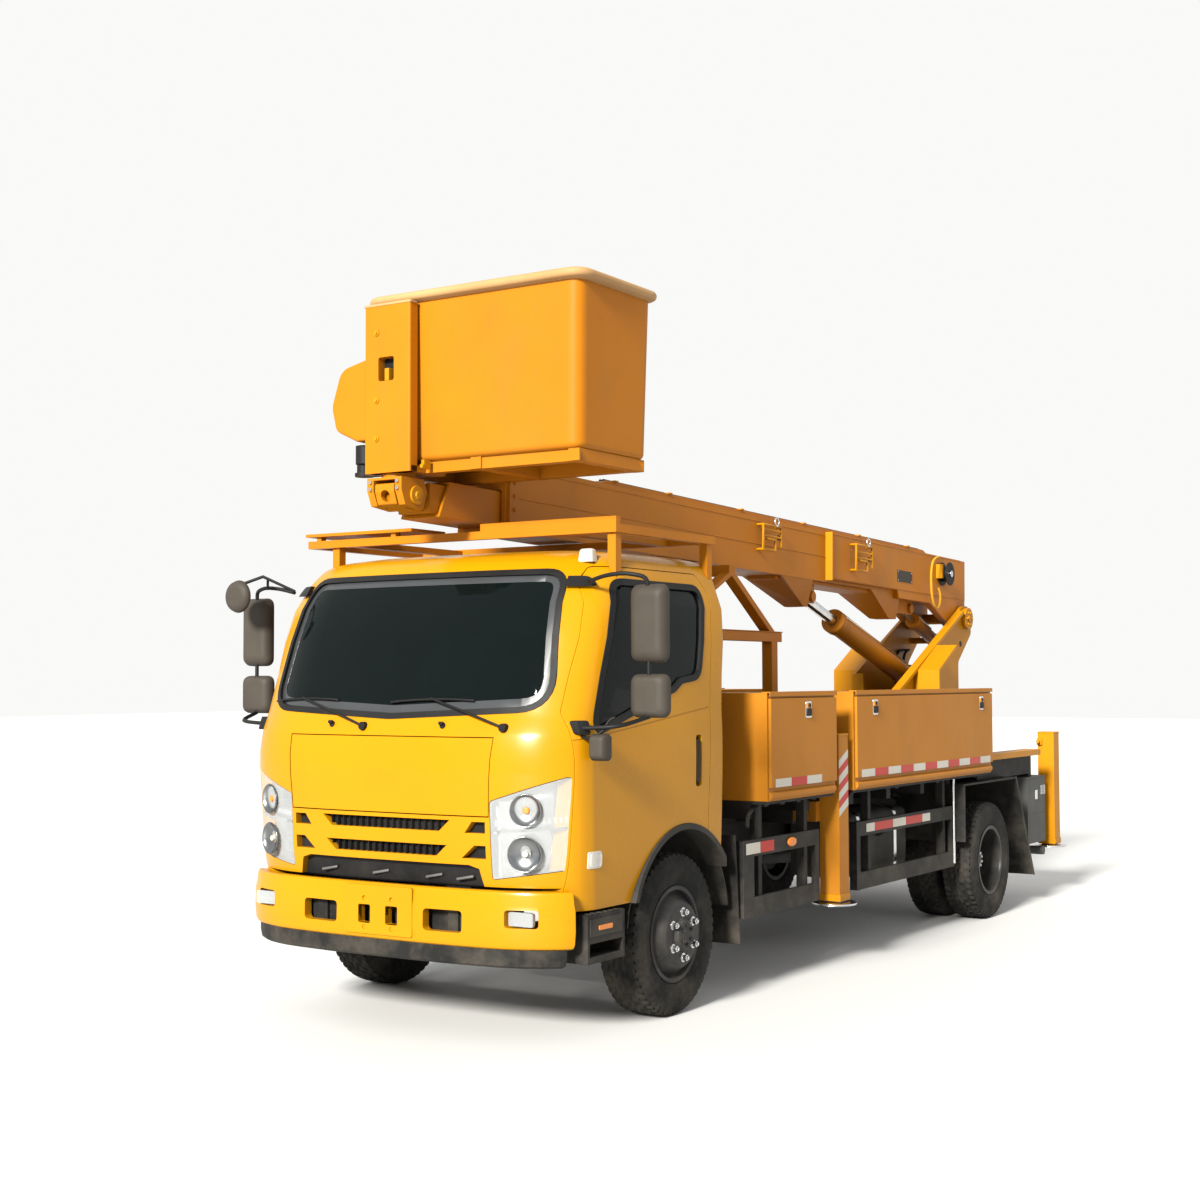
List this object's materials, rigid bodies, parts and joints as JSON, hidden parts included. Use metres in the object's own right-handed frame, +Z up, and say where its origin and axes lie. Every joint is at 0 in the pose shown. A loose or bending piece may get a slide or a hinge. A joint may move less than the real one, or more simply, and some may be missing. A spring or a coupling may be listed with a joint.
{
  "type": "cherry picker truck",
  "caption": "Cab-over truck with a slewing rear turret, a telescopic boom stowed over the cab, a swinging bucket beside the boom head, side lockers and outriggers.",
  "frame": {"origin": "on the ground, in the middle of the vehicle's length and width", "axes": "+Z up, -Y the way the vehicle drives, +X its left side"},
  "size_m": [2.63, 7.133, 3.5],
  "materials": {
    "cab_yellow": "gloss paint",
    "boom_orange": "satin paint",
    "locker_orange": "satin paint",
    "turret_yellow": "gloss paint",
    "chassis_black": "matte paint",
    "guard_grey": "matte paint",
    "rubber": "worn rubber",
    "rim_black": "satin paint",
    "steel": "polished",
    "glass": "clear",
    "lamp_clear": "clear",
    "mirror_plastic": "matte",
    "seat_grey": "woven",
    "tank_rust": "weathered paint",
    "engine_grey": "cast"
  },
  "bodies": {
    "chassis": {"frame": "chassis_black", "front_axle": "chassis_black", "rear_axle": "chassis_black", "powertrain": "engine_grey", "cab_shell": "cab_yellow", "windscreen": "glass", "cab_interior": "seat_grey", "bumper": "cab_yellow", "headlight_left": "lamp_clear", "headlight_right": "lamp_clear", "roof_rack": "boom_orange", "deck": "chassis_black", "locker_front_left": "locker_orange", "locker_front_right": "locker_orange", "locker_rear_left": "locker_orange", "locker_rear_right": "locker_orange", "boom_rest": "boom_orange", "hydraulic_tank": "tank_rust", "fuel_tank": "guard_grey", "rear_frame": "turret_yellow"},
    "front_lid": {"front_lid": "cab_yellow"},
    "door_left": {"door_left": "cab_yellow", "door_glass_left": "glass", "mirror_left": "mirror_plastic"},
    "door_right": {"door_right": "cab_yellow", "door_glass_right": "glass", "mirror_right": "mirror_plastic"},
    "knuckle_left": {"knuckle_left": "chassis_black"},
    "knuckle_right": {"knuckle_right": "chassis_black"},
    "wheel_front_left": {"rim_front_left": "rim_black", "tyre_front_left": "rubber"},
    "wheel_front_right": {"rim_front_right": "rim_black", "tyre_front_right": "rubber"},
    "wheels_rear_left": {"rims_rear_left": "rim_black", "tyre_rear_outer_left": "rubber", "tyre_rear_inner_left": "rubber"},
    "wheels_rear_right": {"rims_rear_right": "rim_black", "tyre_rear_outer_right": "rubber", "tyre_rear_inner_right": "rubber"},
    "locker_door_front_left": {"locker_door_front_left": "locker_orange"},
    "locker_door_front_right": {"locker_door_front_right": "locker_orange"},
    "locker_door_rear_left": {"locker_door_rear_left": "locker_orange"},
    "locker_door_rear_right": {"locker_door_rear_right": "locker_orange"},
    "outrigger_left": {"outrigger_beam_left": "turret_yellow"},
    "outrigger_right": {"outrigger_beam_right": "turret_yellow"},
    "jack_leg_mid_left": {"jack_leg_mid_left": "steel"},
    "jack_leg_mid_right": {"jack_leg_mid_right": "steel"},
    "jack_leg_rear_left": {"jack_leg_rear_left": "steel"},
    "jack_leg_rear_right": {"jack_leg_rear_right": "steel"},
    "turret": {"turret": "turret_yellow"},
    "base_boom": {"base_boom": "boom_orange"},
    "mid_boom": {"mid_boom": "boom_orange"},
    "tip_boom": {"tip_boom": "boom_orange"},
    "platform_head": {"platform_head": "boom_orange"},
    "bucket": {"bucket": "boom_orange"},
    "lift_barrel": {"lift_barrel": "boom_orange"},
    "lift_rod": {"lift_rod": "steel"},
    "level_barrel": {"level_barrel": "boom_orange"},
    "level_rod": {"level_rod": "steel"}
  },
  "joints": [
    {"name": "steer_left", "type": "hinge", "parent": "chassis", "child": "knuckle_left", "pos_m": [0.7, -2.46, 0.3985], "axis": [0, 0, 1], "range_deg": [-35, 35]},
    {"name": "wheel_spin_front_left", "type": "hinge", "parent": "knuckle_left", "child": "wheel_front_left", "pos_m": [0.855, -2.46, 0.3985], "axis": [1, 0, 0], "continuous": true},
    {"name": "wheel_spin_rear_left", "type": "hinge", "parent": "chassis", "child": "wheels_rear_left", "pos_m": [0.824, 1.67, 0.3985], "axis": [1, 0, 0], "continuous": true},
    {"name": "door_hinge_left", "type": "hinge", "parent": "chassis", "child": "door_left", "pos_m": [0.935, -3.36, 1.4], "axis": [0, 0, -1], "range_deg": [0, 75]},
    {"name": "locker_hinge_front_left", "type": "hinge", "parent": "chassis", "child": "locker_door_front_left", "pos_m": [1.071, -1.25, 1.0724], "axis": [0, 1, 0], "range_deg": [0, 90]},
    {"name": "locker_hinge_rear_left", "type": "hinge", "parent": "chassis", "child": "locker_door_rear_left", "pos_m": [1.071, 0.5625, 1.0724], "axis": [0, 1, 0], "range_deg": [0, 90]},
    {"name": "outrigger_extend_left", "type": "slide", "parent": "chassis", "child": "outrigger_left", "axis": [1, 0, 0], "range_m": [0, 0.9]},
    {"name": "jack_mid_left", "type": "slide", "parent": "outrigger_left", "child": "jack_leg_mid_left", "axis": [0, 0, -1], "range_m": [0, 0.4]},
    {"name": "jack_rear_left", "type": "slide", "parent": "chassis", "child": "jack_leg_rear_left", "axis": [0, 0, -1], "range_m": [0, 0.4]},
    {"name": "steer_right", "type": "hinge", "parent": "chassis", "child": "knuckle_right", "pos_m": [-0.7, -2.46, 0.3985], "axis": [0, 0, 1], "range_deg": [-35, 35]},
    {"name": "wheel_spin_front_right", "type": "hinge", "parent": "knuckle_right", "child": "wheel_front_right", "pos_m": [-0.855, -2.46, 0.3985], "axis": [1, 0, 0], "continuous": true},
    {"name": "wheel_spin_rear_right", "type": "hinge", "parent": "chassis", "child": "wheels_rear_right", "pos_m": [-0.824, 1.67, 0.3985], "axis": [1, 0, 0], "continuous": true},
    {"name": "door_hinge_right", "type": "hinge", "parent": "chassis", "child": "door_right", "pos_m": [-0.935, -3.36, 1.4], "axis": [0, 0, 1], "range_deg": [0, 75]},
    {"name": "locker_hinge_front_right", "type": "hinge", "parent": "chassis", "child": "locker_door_front_right", "pos_m": [-1.071, -1.25, 1.0724], "axis": [0, -1, 0], "range_deg": [0, 90]},
    {"name": "locker_hinge_rear_right", "type": "hinge", "parent": "chassis", "child": "locker_door_rear_right", "pos_m": [-1.071, 0.5625, 1.0724], "axis": [0, -1, 0], "range_deg": [0, 90]},
    {"name": "outrigger_extend_right", "type": "slide", "parent": "chassis", "child": "outrigger_right", "axis": [-1, 0, 0], "range_m": [0, 0.9]},
    {"name": "jack_mid_right", "type": "slide", "parent": "outrigger_right", "child": "jack_leg_mid_right", "axis": [0, 0, -1], "range_m": [0, 0.4]},
    {"name": "jack_rear_right", "type": "slide", "parent": "chassis", "child": "jack_leg_rear_right", "axis": [0, 0, -1], "range_m": [0, 0.4]},
    {"name": "front_lid_hinge", "type": "hinge", "parent": "chassis", "child": "front_lid", "pos_m": [0, -3.523, 1.385], "axis": [-1, 0, 0], "range_deg": [0, 80]},
    {"name": "turret_slew", "type": "hinge", "parent": "chassis", "child": "turret", "pos_m": [0, 2.64, 1.11], "axis": [0, 0, 1], "continuous": true},
    {"name": "boom_lift", "type": "hinge", "parent": "turret", "child": "base_boom", "pos_m": [0, 3.44, 2.13], "axis": [-1, 0, 0], "range_deg": [0, 75]},
    {"name": "lift_barrel_pivot", "type": "hinge", "parent": "turret", "child": "lift_barrel", "pos_m": [0, 2.79, 1.65], "axis": [-1, 0, 0], "range_deg": [0, 76]},
    {"name": "lift_rod_slide", "type": "slide", "parent": "lift_barrel", "child": "lift_rod", "axis": [0, -0.9572, 0.2896], "range_m": [0, 0.994]},
    {"name": "level_barrel_pivot", "type": "hinge", "parent": "turret", "child": "level_barrel", "pos_m": [0, 3.34, 1.955], "axis": [-1, 0, 0], "range_deg": [0, 70]},
    {"name": "level_rod_slide", "type": "slide", "parent": "level_barrel", "child": "level_rod", "axis": [0, -0.9483, 0.3173], "range_m": [0, 0.236]},
    {"name": "boom_extend_mid", "type": "slide", "parent": "base_boom", "child": "mid_boom", "axis": [0, -0.9997, 0.0236], "range_m": [0, 4.2]},
    {"name": "boom_extend_tip", "type": "slide", "parent": "mid_boom", "child": "tip_boom", "axis": [0, -0.9997, 0.0236], "range_m": [0, 4.2]},
    {"name": "platform_level", "type": "hinge", "parent": "tip_boom", "child": "platform_head", "pos_m": [0, -3.43248, 2.53003], "axis": [-1, 0, 0], "range_deg": [-75, 0]},
    {"name": "platform_swing", "type": "hinge", "parent": "platform_head", "child": "bucket", "pos_m": [0, -3.43, 2.635], "axis": [0, 0, -1], "range_deg": [0, 180]}
  ],
  "couplings": [
    {"joint": "steer_right", "follows": "steer_left", "ratio": 1},
    {"joint": "lift_barrel_pivot", "follows": "boom_lift", "ratio": 0.99653},
    {"joint": "lift_rod_slide", "follows": "boom_lift", "m_per_rad": 0.75151},
    {"joint": "level_barrel_pivot", "follows": "boom_lift", "ratio": 0.91371},
    {"joint": "level_rod_slide", "follows": "boom_lift", "m_per_rad": 0.17282},
    {"joint": "boom_extend_tip", "follows": "boom_extend_mid", "ratio": 1},
    {"joint": "platform_level", "follows": "boom_lift", "ratio": -1}
  ]
}
